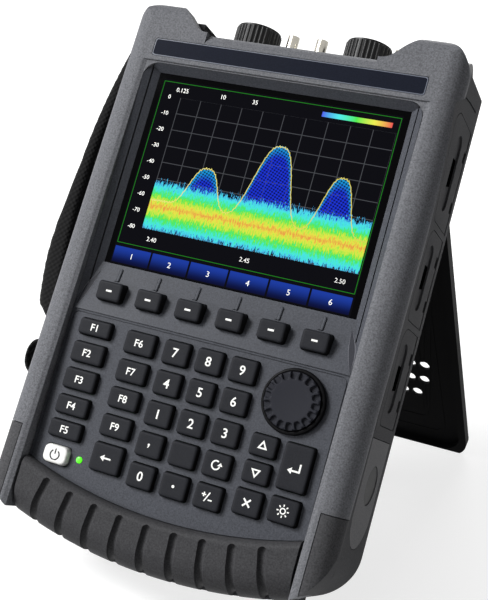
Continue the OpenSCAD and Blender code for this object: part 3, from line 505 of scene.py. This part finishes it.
def key_cap(name):
    """A key with an upright skirt and a softly rolled, slightly dished top; the skirt and the lower roll take a
    near-black copy of the key rubber as painted shade.
    """
    low, high = node_span(name)
    x, z = (low[0] + high[0]) / 2, (low[2] + high[2]) / 2
    w, h, front, back = high[0] - low[0] - 2, high[2] - low[2] - 2, low[1], high[1] - 1.5
    power = name == "key_power"
    side, top = (key_white, key_white) if power else (key_side, key_top)
    r = 3.0 if power else 1.6
    steps = [(0, back), (0, front + 2.5), (0.08, front + 1.3), (0.25, front + 0.65), (0.55, front + 0.24),
             (0.95, front + 0.05), (1.5, front), (3.2, front + 0.08)]
    rings = [[(x + u, y, z + v) for u, v in rounded(w - 2 * i, h - 2 * i, max(0.4, r - i * 0.45))] for i, y in steps]
    piece = Piece()
    # Sides in the near-black copy as painted shade, top in the key rubber
    piece.loft(rings, [side] * 3 + [top] * 4)
    ink = legend_black if power else legend_white
    if name in WORDS:
        tall = 4.6 if name in DIGITS else 3.6
        piece.sign(WORDS[name], (x, z), tall, front + 0.3, front - 0.03, ink, 0.012)
    elif name in SIGNS:
        draw_sign(piece, SIGNS[name], x, z, front + 0.06, ink)
    piece.build(name + "_cap", name, name, slot="white_key" if power else "key_rubber")


for name in nodes:
    if name.startswith(("key_", "soft_key_")):
        key_cap(name)

# Knob with a notched rim

RING_R, FACE_R = 16.0, 13.9
NOTCHES, NOTCH_STEPS = 18, 20
NOTCH_END_R, NOTCH_HALF, NOTCH_SOFT, NOTCH_DEEP = 11.75, 1.6, 0.35, 1.45


def knob_grip():
    """A low face with round-ended notches in its rim, standing in a black ring."""
    low, high = node_span("knob")
    x, z, front = (low[0] + high[0]) / 2, (low[2] + high[2]) / 2, low[1]
    n = NOTCHES * NOTCH_STEPS
    ring_rows = [(RING_R, 0.5), (RING_R, -1.9), (15.75, -2.5), (15.3, -2.8), (14.7, -2.85), (14.25, -2.6),
                 (FACE_R, -2.5)]
    rim_rows = [(FACE_R, front + 1.5), (FACE_R, front + 0.7), (13.75, front + 0.3), (13.45, front + 0.08)]
    face_rows = [(13.1 - 0.3 * i, front) for i in range(12)]
    face_rows += [(8.8, front + 0.05), (5, front + 0.2), (0.6, front + 0.25)]
    rings = []
    for r, y in ring_rows + rim_rows + face_rows:
        ring = []
        for i in range(n):
            a = 2 * math.pi * i / n
            across = abs((i * NOTCHES / n + 0.5) % 1 - 0.5) * 2 * math.pi * r / NOTCHES
            away = math.hypot(across, max(0.0, NOTCH_END_R - r))
            notch = min(1.0, max(0.0, (NOTCH_HALF - away) / NOTCH_SOFT))
            ring.append((x + r * math.cos(a), max(y, front + NOTCH_DEEP * notch), z + r * math.sin(a)))
        rings.append(ring)
    piece = Piece()
    black = len(ring_rows)
    piece.loft(rings, [knob_black] * black + [knob_face] * (len(rings) - 1 - black))
    piece.build("knob_grip", "knob", "knob", slot="black_plastic", sharp=50)


knob_grip()

# Power light and name strip


def power_light():
    low, high = node_span("power_led")
    x, z, r = (low[0] + high[0]) / 2, (low[2] + high[2]) / 2, (high[0] - low[0]) / 2
    rows = [(r, high[1]), (r, low[1] + 0.5), (0.92 * r, low[1] + 0.22), (0.7 * r, low[1] + 0.07), (0.35 * r, low[1]),
            (0.05 * r, low[1])]
    rings = [[(x + s * math.cos(math.pi * i / 16), y, z + s * math.sin(math.pi * i / 16)) for i in range(32)]
             for s, y in rows]
    piece = Piece()
    piece.loft(rings, light_green)
    piece.build("power_light", "case", "power_led", slot="led")


power_light()


def name_strip():
    """Bare plate in the pocket of the brow, which leans back two degrees."""
    piece = Piece()
    lean, foot, front = math.radians(2), 100.0, -6.0
    middle = 166.3
    rows = [(0, 1.35), (0, 0.2), (0.12, 0.05), (0.42, 0.05), (0.52, 0.15), (1.1, 0.15)]
    rings = []
    for i, deep in rows:
        ring = []
        for u, v in rounded(150.0 - 2 * i, 9.5 - 2 * i, 1.2):
            rise = middle + v
            ring.append((u, front + deep * math.cos(lean) + rise * math.sin(lean),
                         foot + rise * math.cos(lean) - deep * math.sin(lean)))
        rings.append(ring)
    piece.loft(rings, [strip_edge] * 4 + [strip_slate])
    piece.build("name_strip", "case", slot="panel_paint")


name_strip()

# Leaf scoops at the ends of the soft key ledge, drawn as near-flat plates with a painted shade fill and a painted
# highlight rim, and ribs up to the screen

LEDGE_Y, LEDGE_Z, LEDGE_SLOPE = -0.8, 121.5, 5.8 / 27.1


def ledge_y(z):
    """Depth of the sloped ledge at a height."""
    return LEDGE_Y + (z - LEDGE_Z) * LEDGE_SLOPE


def leaf_marks():
    piece = Piece()
    for side in (-1, 1):
        foot, tip = Vector((75.2, 122.8)), Vector((69.6, 143.2))
        ahead = (tip - foot).normalized()
        across = Vector((ahead.y, -ahead.x))
        # The light rim paints the highlight on the scoop's edge, the dark fill paints the shade inside the scoop
        for wide, lift, material in ((2.3, 0.1, leaf_painted_highlight), (1.9, 0.16, leaf_painted_shade)):
            outline = []
            for k in range(32):
                t = 2 * (k if k <= 16 else 32 - k) / 32
                half = wide * math.sin(math.pi * t) * (1 if k <= 16 else -0.55)
                spot = foot + (tip - foot) * t + across * half
                outline.append((side * spot.x, spot.y))
            rings = [[(x, ledge_y(z) - rise, z) for x, z in outline] for rise in (-0.3, lift)]
            piece.loft(rings, material)
    piece.build("leaf_marks", "case", slot="panel_paint")


leaf_marks()


def ledge_ribs():
    """A short rounded rib from each soft key up to the screen."""
    piece = Piece()
    wide, tall, corner = 1.7, 7.2, 0.8
    for i in range(1, 7):
        low, high = node_span("soft_key_%d" % i)
        x, z = (low[0] + high[0]) / 2, high[2] + tall / 2
        rings = []
        for inset, lift in ((0, -0.3), (0, 0.25), (0.12, 0.5), (0.35, 0.66), (0.6, 0.7)):
            outline = rounded(wide - 2 * inset, tall - 2 * inset, max(0.2, corner - inset))
            rings.append([(x + u, ledge_y(z + v) - lift, z + v) for u, v in outline])
        piece.loft(rings, panel_grey)
    piece.build("ledge_ribs", "case", slot="panel_paint")


ledge_ribs()

# Black plates in the slots and hinge gaps of the side doors, as painted shade on their floors


def door_slots(name):
    low, high = node_span(name)
    middle, tall, face = (low[2] + high[2]) / 2, high[2] - low[2] - 6, high[0]
    piece = Piece()

    def inset(y, z, wide, high, radius, foot, top):
        outline = [(y + u, z + v) for u, v in rounded(wide, high, radius)]
        piece.loft([[(face - d, q, r) for q, r in outline] for d in (foot, top)], slot_painted_shade)

    # Black plates sunk in the slot and the hinge gaps paint their shade
    inset(33.5, middle, 6.2, 0.27 * tall - 0.2, 1.1, 2.25, 0.12)
    for s in (-1, 1):
        inset(high[1] - 3.2, middle + s * 0.25 * tall, 2.6, 5.6, 0.4, 1.4, 0.3)
    piece.build(name + "_slots", name, slot="black_plastic")


for name in ("door_upper", "door_middle", "door_lower"):
    door_slots(name)

# Screen picture, in millimetres across and up the case

LOBES, LOBE_FOOT = ((-27, 9.5, 21), (9, 12, 40), (45, 9, 29)), 186.0
FIELD_X, FIELD_Z = (-54.2, 65.0), (170.3, 242.2)
COLUMN, ROW = 11.9, 8.97
SCALE_X, SCALE_Z = (25.0, 62.0), (244.6, 247.2)
BAR_X, BAR_PITCH, BAR_Z = 66.4, 22.1, (149.9, 158.5)


def screen_paint():
    """A made-up trace picture: frame line, grid, three lobes, a noise band, a colour scale and soft key bars."""
    made, w, shader = new_material("screen_paint")
    place = w.node("ShaderNodeTexCoord").outputs["Object"]
    axes = w.node("ShaderNodeSeparateXYZ", {"Vector": place})
    x = w.math("MULTIPLY", axes.outputs["X"], 1000.0)
    z = w.math("MULTIPLY_ADD", axes.outputs["Y"], 1000 * math.sin(LEAN), ORIGIN_Y * math.sin(LEAN))
    z = w.math("ADD", z, w.math("MULTIPLY_ADD", axes.outputs["Z"], 1000 * math.cos(LEAN), -FLOOR_D * math.cos(LEAN)))

    def inside(value, low, high):
        return w.math("MULTIPLY", w.math("GREATER_THAN", value, low), w.math("LESS_THAN", value, high))

    def both(a, b):
        return w.math("MULTIPLY", a, b)

    colour = (0.002, 0.002, 0.003, 1)
    edge = w.math("MAXIMUM", w.math("SUBTRACT", w.math("ABSOLUTE", x), 65.7),
                  w.math("SUBTRACT", w.math("ABSOLUTE", w.math("SUBTRACT", z, 205.3)), 44.8))
    frame_line = w.math("LESS_THAN", w.math("ABSOLUTE", edge), 0.16)
    field = both(inside(x, *FIELD_X), inside(z, *FIELD_Z))
    column = w.math("FRACT", w.math("DIVIDE", w.math("SUBTRACT", x, -54.1), COLUMN))
    row = w.math("FRACT", w.math("DIVIDE", w.math("SUBTRACT", z, 170.4), ROW))
    grid = w.math("MAXIMUM", w.math("LESS_THAN", column, 0.035), w.math("LESS_THAN", row, 0.045))
    colour = w.mix(both(grid, field), colour, linear("4a4c50"))

    hill = LOBE_FOOT
    for centre, half, rise in LOBES:
        far = w.math("POWER", w.math("ABSOLUTE", w.math("DIVIDE", w.math("SUBTRACT", x, centre), half)), 3.0)
        hill = w.math("ADD", w.math("MULTIPLY", w.math("EXPONENT", w.math("MULTIPLY", far, -1.0)), rise), hill)
    under = both(both(w.math("LESS_THAN", z, hill), field), w.math("GREATER_THAN", z, 178.0))
    slant = w.math("SINE", w.math("MULTIPLY_ADD", x, 2.7, w.math("MULTIPLY", z, 1.3)))
    cross = w.math("SINE", w.math("MULTIPLY_ADD", x, 1.2, w.math("MULTIPLY", z, -2.9)))
    mesh = w.ramp(both(slant, cross), -0.55, 0.35, 0.1, 1.0)
    raised = w.math("GREATER_THAN", hill, 188.0)
    near_top = w.ramp(w.math("SUBTRACT", hill, z), 0.0, 7.0, 1.0, 0.0)
    blue = w.mix(near_top, linear("1a35e0"), linear("16a8e8"))
    colour = w.mix(both(both(under, raised), mesh), colour, blue)

    jagged = w.node("ShaderNodeCombineXYZ", {"X": w.math("MULTIPLY", x, 1.5), "Y": w.math("MULTIPLY", z, 0.3)})
    grains = w.noise(jagged.outputs[0], 1.0, 3.0, 0.7)
    away = w.math("ABSOLUTE", w.math("DIVIDE", w.math("SUBTRACT", z, 183.0), 12.5))
    inner = w.math("SUBTRACT", w.math("ADD", grains, 0.38), w.math("MULTIPLY", away, 0.75))
    band = w.math("GREATER_THAN", inner, 0.12)
    hue = w.ramp(inner, 0.12, 0.92, 0.6, 0.06, False)
    tint = w.node("ShaderNodeCombineColor", {"Red": hue, "Green": 0.92, "Blue": 0.9}, mode="HSV")
    colour = w.mix(both(band, field), colour, tint.outputs[0])

    scale = both(inside(x, *SCALE_X), inside(z, *SCALE_Z))
    hue = w.ramp(x, *SCALE_X, 0.66, 0.0, False)
    tint = w.node("ShaderNodeCombineColor", {"Red": hue, "Green": 0.9, "Blue": 0.95}, mode="HSV")
    colour = w.mix(scale, colour, tint.outputs[0])
    colour = w.mix(frame_line, colour, linear("248a20"))

    share = w.math("FRACT", w.math("DIVIDE", w.math("ADD", x, BAR_X), BAR_PITCH))
    bars = both(inside(z, *BAR_Z), inside(share, 0.02, 0.97))
    depth = w.ramp(z, *BAR_Z, 0.0, 1.0)
    blue = w.mix(depth, linear("040a36"), linear("1c3ea8"))
    colour = w.mix(bars, colour, blue)
    w.set(shader, "Base Color", (0.002, 0.002, 0.003, 1))
    w.set(shader, "Roughness", 0.05)
    w.set(shader, "Specular IOR Level", 0.01)
    w.set(shader, "Emission Color", colour)
    w.set(shader, "Emission Strength", 0.9)
    return made


def screen_picture():
    paint = screen_paint()
    low, high = node_span("display_lens")
    front = low[1]
    piece = Piece()
    middle = 200.2
    corners = ((66.6, 51), (-66.6, 51), (-66.6, -51), (66.6, -51))
    piece.plate([(u, middle + v) for u, v in corners], front, front - 0.12, paint)
    y0, y1 = front - 0.05, front - 0.2

    def hill(x):
        return LOBE_FOOT + sum(rise * math.exp(-abs((x - c) / half) ** 3) for c, half, rise in LOBES)

    trace = [(x, hill(x) + 0.9 * math.sin(7.3 * x) * math.sin(3.1 * x + 1)) for x in np.arange(-54, 65.1, 0.6)]
    piece.ribbon(trace, 0.4, y0, y1, trace_yellow)
    for i in range(9):
        piece.sign(str(-10 * i), (-60.5, 242.0 - ROW * i), 2.2, y0, y1, legend_white)
    for words, at, tall in (("2.40", (-47, 165.2), 2.3), ("2.45", (6, 165.2), 2.3), ("2.50", (57, 165.2), 2.3),
                            ("0.125", (-54, 246.3), 2.3), ("10", (-30, 246.3), 2.3), ("35", (-12, 246.3), 2.3)):
        piece.sign(words, at, tall, y0, y1, legend_white)
    for i in range(6):
        piece.sign(str(i + 1), (-55.3 + BAR_PITCH * i, 154.2), 2.9, y0, y1, legend_white)
    piece.build("screen_picture", "case", slot="lens")


screen_picture()

# Hand strap: padded sleeve with sewn edges, and webbing through the lower anchor

STRAP_Y, SEAM_Y = 36, 15.3


def crowned(value, power):
    return math.copysign(abs(value) ** power, value)


def step(value, low, high):
    """Smooth rise from 0 at low to 1 at high."""
    t = min(1.0, max(0.0, (value - low) / (high - low)))
    return t * t * (3 - 2 * t)


def strap_swell(z):
    """How far the padding bulges outwards at a height."""
    return 6.0 * step(z, 205, 140) * step(z, 114, 124)


def strap_sleeve():
    half, sag = 86.0, 11.5
    radius = (half * half + sag * sag) / (2 * sag)
    centre_x, centre_z, span = -94.5 - sag + radius, 184.0, math.asin(half / radius)
    n, m = 72, 96
    piece = Piece()

    def spot(s, lift, across):
        a = span * s
        return (centre_x - (radius + lift) * math.cos(a), STRAP_Y + across, centre_z + (radius + lift) * math.sin(a))

    rings = []
    for i in range(n + 1):
        s = -1 + 2 * i / n
        s = math.copysign(abs(s) ** 0.8, s)
        end = min(1, (1 - abs(s)) / 0.05)
        full = 0.62 + 0.38 * math.sqrt(max(0.0, 1 - (1 - end) ** 2))
        ring = []
        for k in range(m):
            a = 2 * math.pi * (k + 0.5) / m
            across = 19.2 * crowned(math.sin(a), 0.5) * (0.9 + 0.1 * full)
            lift = (4.6 * crowned(math.cos(a), 0.7) + 0.5 * math.cos(a)) * full
            z = centre_z + radius * math.sin(span * s)
            lift += strap_swell(z) * crowned(max(0.0, math.cos(a)), 0.3)
            from_seam = abs(across) - SEAM_Y
            seam = math.exp(-(from_seam / 0.8) ** 2)
            pucker = 0.22 * math.sin(46 * math.pi * s) * math.exp(-(from_seam / 3.0) ** 2)
            lift += math.copysign(1, math.cos(a)) * (pucker - 0.75 * seam) * min(1, end)
            ring.append(spot(s, lift, across))
        rings.append(ring)
    piece.loft(rings, strap_cloth)
    for side in (-1, 1):
        for i in range(46):
            s = -0.95 + 1.9 * i / 45
            z = centre_z + radius * math.sin(span * s)
            lift = 3.55 + strap_swell(z) * 0.84
            rows = [spot(s + 0.0075 * t, lift, SEAM_Y * side) for t in (-1, -0.6, 0.6, 1)]
            thread = []
            for row, r in zip(rows, (0.08, 0.32, 0.32, 0.08)):
                thread.append([(row[0] + r * math.cos(q), row[1] + r * math.sin(q), row[2])
                               for q in (math.pi / 4 * j for j in range(8))])
            piece.loft(thread, strap_thread)
    sleeve = piece.build("strap_sleeve", "case", "hand_strap", slot="strap_fabric", sharp=60)


strap_sleeve()


def strap_webbing():
    """Flat webbing from the sleeve through the lower anchor, with a folded loop."""
    path = [(-7.2, 14), (-6.6, 9), (-4.8, 5.5), (-6.0, 3.4), (-11.5, 3.6), (-17.0, 2.2), (-19.6, -2.0), (-19.8, -7.4),
            (-18.2, -11.8), (-13.6, -15.6), (-7.4, -19.2), (-3.6, -21.6), (-2.6, -23.4)]
    spots = [Vector((-89.5 + u, 98 + v)) for u, v in path]
    fine = []
    for i in range(len(spots) - 1):
        p0, p1 = spots[max(0, i - 1)], spots[i]
        p2, p3 = spots[i + 1], spots[min(len(spots) - 1, i + 2)]
        for k in range(5):
            t = k / 5
            fine.append(0.5 * (2 * p1 + (p2 - p0) * t + (2 * p0 - 5 * p1 + 4 * p2 - p3) * t * t
                               + (3 * p1 - p0 - 3 * p2 + p3) * t ** 3))
    fine.append(spots[-1])
    rings = []
    for i, p in enumerate(fine):
        ahead = (fine[min(i + 1, len(fine) - 1)] - fine[max(i - 1, 0)]).normalized()
        side = Vector((-ahead.y, ahead.x))
        ring = []
        for u, v in rounded(26, 1.9, 0.9, 3):
            q = p + side * v
            ring.append((q.x, STRAP_Y + u, q.y))
        rings.append(ring)
    piece = Piece()
    piece.loft(rings, strap_web)
    piece.build("strap_webbing", "case", slot="strap_fabric")


strap_webbing()

# Stage: floor, world and lamps


def seen_directly(w):
    """1 for rays from the camera, a mirror or glass, 0 for light that falls on a surface."""
    seen = w.node("ShaderNodeLightPath")
    view = w.math("ADD", seen.outputs["Is Camera Ray"], seen.outputs["Is Glossy Ray"])
    return w.math("ADD", view, seen.outputs["Is Transmission Ray"], clamp=True)


def stage():
    mesh = bpy.data.meshes.new("floor")
    half = 6.0
    corners = [(-half, -half, 0), (half, -half, 0), (half, half, 0), (-half, half, 0)]
    mesh.from_pydata(corners, [], [(0, 1, 2, 3)])
    floor = bpy.data.objects.new("floor", mesh)
    scene.collection.objects.link(floor)
    made = bpy.data.materials.new("floor_white")
    made.use_nodes = True
    made.node_tree.nodes.clear()
    w = Wires(made.node_tree)
    plain = w.node("ShaderNodeBsdfDiffuse", {"Color": (0.4, 0.4, 0.4, 1)})
    spot = w.node("ShaderNodeTexCoord").outputs["Object"]
    far = w.node("ShaderNodeVectorMath", {0: spot}, operation="LENGTH").outputs["Value"]
    level = w.math("MULTIPLY", seen_directly(w), w.ramp(far, 0.2, 0.8, 0.76, 1.0))
    glow = w.node("ShaderNodeEmission", {"Color": (1, 1, 1, 1), "Strength": level})
    mixed = w.node("ShaderNodeAddShader", {0: plain.outputs[0], 1: glow.outputs[0]})
    w.node("ShaderNodeOutputMaterial", {"Surface": mixed.outputs[0]})
    mesh.materials.append(made)

    world = bpy.data.worlds.new("studio")
    scene.world = world
    world.use_nodes = True
    world.node_tree.nodes.clear()
    w = Wires(world.node_tree)
    level = w.math("MULTIPLY_ADD", seen_directly(w), 0.88, 0.12)
    back = w.node("ShaderNodeBackground", {"Color": (1, 1, 1, 1), "Strength": level})
    w.node("ShaderNodeOutputWorld", {"Surface": back.outputs[0]})

    def lamp(name, at, aim, width, height, power):
        data = bpy.data.lights.new(name, "AREA")
        data.shape = "RECTANGLE"
        data.size, data.size_y, data.energy = width, height, power
        made = bpy.data.objects.new(name, data)
        scene.collection.objects.link(made)
        made.location = at
        made.rotation_mode = "QUATERNION"
        made.rotation_quaternion = (Vector(aim) - Vector(at)).to_track_quat("-Z", "Y")

    lamp("lamp_key", (-1.8, -1.15, 2.1), (0, 0.03, 0.12), 1.1, 0.9, 104)
    lamp("lamp_front", (-1.6, -1.35, 0.5), (0, 0, 0.12), 0.9, 0.4, 16)
    lamp("lamp_right", (1.0, -0.15, 0.1), (0.09, 0, 0.06), 0.4, 0.3, 1.2)
    lamp("lamp_back", (-0.3, 1.9, 1.2), (0, 0.1, 0.12), 0.8, 0.6, 16)


stage()
scene.view_settings.view_transform = "Standard"
